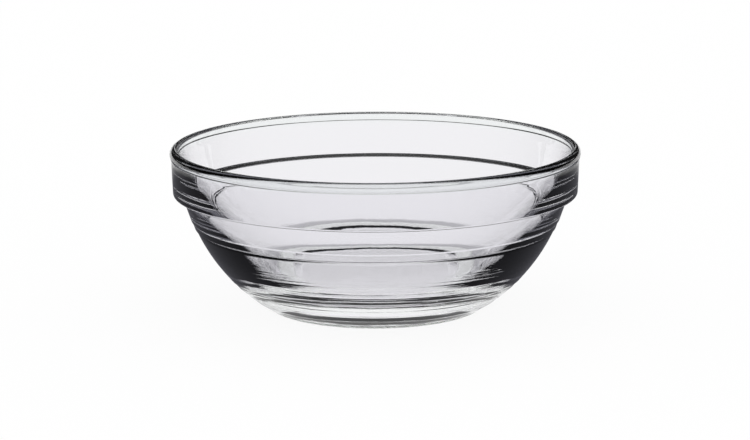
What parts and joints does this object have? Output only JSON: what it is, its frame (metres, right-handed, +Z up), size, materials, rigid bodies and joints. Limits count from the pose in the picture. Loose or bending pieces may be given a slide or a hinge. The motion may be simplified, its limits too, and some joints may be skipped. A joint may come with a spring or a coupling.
{
  "type": "stackable glass bowl",
  "caption": "Round stackable bowl of clear pressed glass with a rolled rim, a collar whose ledge seats on the bowl below, a tapered neck, a round wall with fine steps and a flat foot ring.",
  "frame": {"origin": "centre of the foot ring, on the surface that the bowl stands on", "axes": "+Z up along the bowl's axis, out of its mouth; X and Y are alike because the bowl is round"},
  "size_m": [0.14, 0.14, 0.0556],
  "materials": {
    "clear_glass": "clear colourless soda-lime glass, fire-polished and glossy, faintly wavy"
  },
  "bodies": {
    "root": {"glass_bowl": "clear_glass"}
  },
  "joints": []
}
